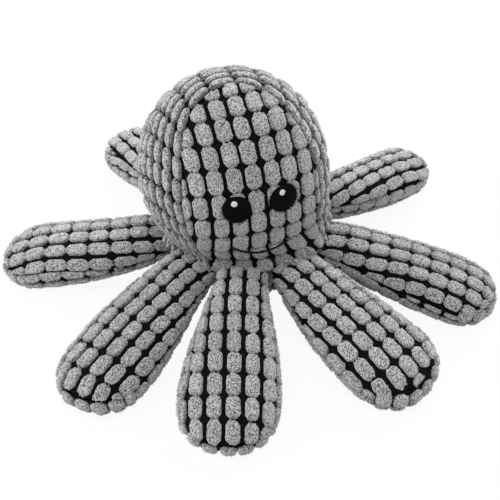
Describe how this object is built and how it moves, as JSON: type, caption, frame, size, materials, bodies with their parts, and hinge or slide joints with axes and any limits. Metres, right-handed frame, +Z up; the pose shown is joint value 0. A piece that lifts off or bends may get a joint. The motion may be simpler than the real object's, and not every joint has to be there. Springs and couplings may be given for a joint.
{
  "type": "plush octopus",
  "caption": "Plush octopus toy with a round head and flat paddle tentacles, sewn from thick grey ribbed pile cloth, with stitched eyes and a thin stitched smile.",
  "frame": {"origin": "middle of the flat patch of the base panel that the toy rests on", "axes": "+Z up, square to the rest face; -Y is the way the face looks; +X is the viewer's right when facing the toy"},
  "size_m": [0.2827, 0.2839, 0.1304],
  "materials": {
    "pile_face": "grey ribbed pile in raised cells on a near-black ground",
    "pile_side": "grey ribbed pile in raised cells on a near-black ground",
    "pile_back": "grey ribbed pile in raised cells on a near-black ground",
    "pile_base": "grey ribbed pile in raised cells on a near-black ground",
    "pile_upper": "grey ribbed pile in raised cells on a near-black ground",
    "pile_lower": "grey ribbed pile in raised cells on a near-black ground",
    "fibre": "loose white fibre",
    "thread_black": "satin embroidery thread",
    "thread_mouth": "matte stitched thread",
    "thread_white": "satin embroidery thread"
  },
  "bodies": {
    "body": {"face_panel": "pile_face", "side_strip": "pile_side", "back_panel": "pile_back", "base_panel": "pile_base", "body_filling": "fibre", "eye_left": "thread_black", "eye_right": "thread_black", "eye_glint_left": "thread_white", "eye_glint_right": "thread_white", "mouth_stitch": "thread_mouth"},
    "front_left_tentacle": {"front_left_upper_panel": "pile_upper", "front_left_lower_panel": "pile_lower", "front_left_filling": "fibre"},
    "side_front_left_tentacle": {"side_front_left_upper_panel": "pile_upper", "side_front_left_lower_panel": "pile_lower", "side_front_left_filling": "fibre"},
    "side_back_left_tentacle": {"side_back_left_upper_panel": "pile_upper", "side_back_left_lower_panel": "pile_lower", "side_back_left_filling": "fibre"},
    "back_left_tentacle": {"back_left_upper_panel": "pile_upper", "back_left_lower_panel": "pile_lower", "back_left_filling": "fibre"},
    "back_right_tentacle": {"back_right_upper_panel": "pile_upper", "back_right_lower_panel": "pile_lower", "back_right_filling": "fibre"},
    "side_back_right_tentacle": {"side_back_right_upper_panel": "pile_upper", "side_back_right_lower_panel": "pile_lower", "side_back_right_filling": "fibre"},
    "side_front_right_tentacle": {"side_front_right_upper_panel": "pile_upper", "side_front_right_lower_panel": "pile_lower", "side_front_right_filling": "fibre"},
    "front_right_tentacle": {"front_right_upper_panel": "pile_upper", "front_right_lower_panel": "pile_lower", "front_right_filling": "fibre"}
  },
  "joints": [
    {"name": "front_left_fold", "type": "hinge", "parent": "body", "child": "front_left_tentacle", "pos_m": [-0.01527, -0.03686, 0.031], "axis": [-0.9239, 0.3827, 0], "range_deg": [-30, 45]},
    {"name": "side_front_left_fold", "type": "hinge", "parent": "body", "child": "side_front_left_tentacle", "pos_m": [-0.0349, -0.01934, 0.031], "axis": [-0.4848, 0.8746, 0], "range_deg": [-30, 35]},
    {"name": "side_back_left_fold", "type": "hinge", "parent": "body", "child": "side_back_left_tentacle", "pos_m": [-0.03903, 0.0083, 0.031], "axis": [0.2079, 0.9781, 0], "range_deg": [-45, 30]},
    {"name": "back_left_fold", "type": "hinge", "parent": "body", "child": "back_left_tentacle", "pos_m": [-0.01462, 0.03712, 0.031], "axis": [0.9304, 0.3665, 0], "range_deg": [-45, 40]},
    {"name": "back_right_fold", "type": "hinge", "parent": "body", "child": "back_right_tentacle", "pos_m": [0.01686, 0.03616, 0.031], "axis": [0.9063, -0.4226, 0], "range_deg": [-45, 55]},
    {"name": "side_back_right_fold", "type": "hinge", "parent": "body", "child": "side_back_right_tentacle", "pos_m": [0.03854, 0.01033, 0.031], "axis": [0.2588, -0.9659, 0], "range_deg": [-45, 65]},
    {"name": "side_front_right_fold", "type": "hinge", "parent": "body", "child": "side_front_right_tentacle", "pos_m": [0.03346, -0.02173, 0.031], "axis": [-0.5446, -0.8387, 0], "range_deg": [-35, 65]},
    {"name": "front_right_fold", "type": "hinge", "parent": "body", "child": "front_right_tentacle", "pos_m": [0.012, -0.03805, 0.031], "axis": [-0.9537, -0.3007, 0], "range_deg": [-35, 60]}
  ]
}
